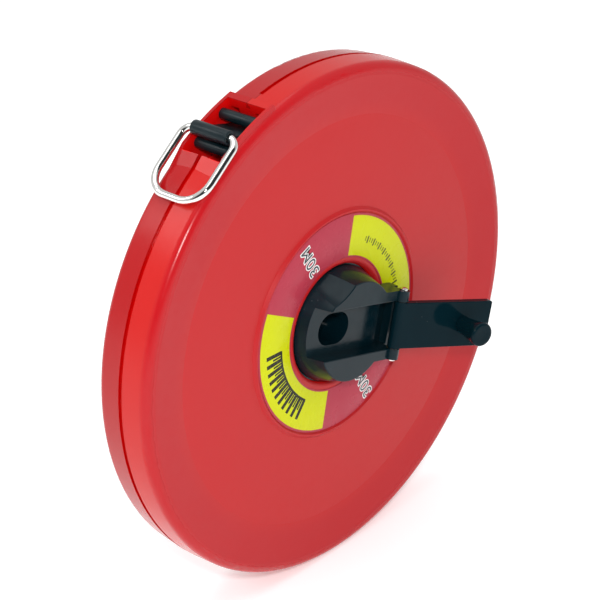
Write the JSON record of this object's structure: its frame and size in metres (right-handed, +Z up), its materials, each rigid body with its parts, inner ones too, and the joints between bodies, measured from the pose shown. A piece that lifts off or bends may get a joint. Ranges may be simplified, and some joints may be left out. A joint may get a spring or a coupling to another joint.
{
  "type": "surveyor tape reel",
  "caption": "Closed-case long measuring tape: round red two-part case, black fold-out winding crank on the face, and a chrome end ring at the roller-guided mouth.",
  "frame": {"origin": "centre of the flat boss on the back face, on the reel axis", "axes": "+Y out of the back face along the reel axis, -Y out of the crank side, +Z up with the case standing on its rim, +X across the case"},
  "size_m": [0.155, 0.0445, 0.1549],
  "materials": {
    "case_red": "fine satin moulded ABS",
    "label_print": "printed film label, yellow sectors on red",
    "crank_black": "polished black moulding",
    "roller_black": "satin black plastic",
    "leader_black": "black coated strip",
    "ring_chrome": "bright chromed wire",
    "bright_steel": "bright nickel-plated steel",
    "steel": "zinc-plated steel",
    "drum_plastic": "natural moulded nylon",
    "tape_blade": "PVC-coated glass-fibre blade"
  },
  "bodies": {
    "case": {"front_shell": "case_red", "rear_shell": "case_red", "case_screws": "steel", "front_label": "label_print", "drum_washer": "drum_plastic", "roller_pin_upper": "steel", "roller_pin_lower": "steel"},
    "reel": {"spool_drum": "drum_plastic", "tape_pack": "tape_blade", "tape_anchor_pin": "steel", "crank_hub": "crank_black", "hub_screws": "steel", "crank_hinge_pin": "bright_steel"},
    "crank": {"crank_arm": "crank_black", "knob_rivet": "bright_steel"},
    "knob": {"crank_knob": "crank_black"},
    "tape_end": {"tape_blade": "tape_blade", "tape_leader": "leader_black", "leader_rivets": "bright_steel", "tape_end_sleeve": "roller_black"},
    "ring": {"end_ring": "ring_chrome"},
    "roller_upper": {"mouth_roller_upper": "roller_black"},
    "roller_lower": {"mouth_roller_lower": "roller_black"}
  },
  "joints": [
    {"name": "spool_spin", "type": "hinge", "parent": "case", "child": "reel", "pos_m": [0, -0.0092, 0], "axis": [0, -1, 0], "continuous": true},
    {"name": "crank_fold", "type": "hinge", "parent": "reel", "child": "crank", "pos_m": [0.01809, -0.0244, -0.00434], "axis": [-0.2334, 0, -0.9724], "range_deg": [0, 163.6]},
    {"name": "knob_spin", "type": "hinge", "parent": "crank", "child": "knob", "pos_m": [0.03945, -0.03087, -0.00947], "axis": [-0.2745, -0.9593, 0.0659], "continuous": true},
    {"name": "tape_pull", "type": "slide", "parent": "case", "child": "tape_end", "axis": [-0.9792, 0, 0.2029], "range_m": [0, 0.028]},
    {"name": "ring_swing", "type": "hinge", "parent": "tape_end", "child": "ring", "pos_m": [-0.04134, -0.0092, 0.06826], "axis": [0, 1, 0], "range_deg": [0, 185]},
    {"name": "upper_roller_spin", "type": "hinge", "parent": "case", "child": "roller_upper", "pos_m": [-0.03075, -0.0092, 0.06906], "axis": [0, 1, 0], "continuous": true},
    {"name": "lower_roller_spin", "type": "hinge", "parent": "case", "child": "roller_lower", "pos_m": [-0.04007, -0.0092, 0.06363], "axis": [0, 1, 0], "continuous": true}
  ]
}
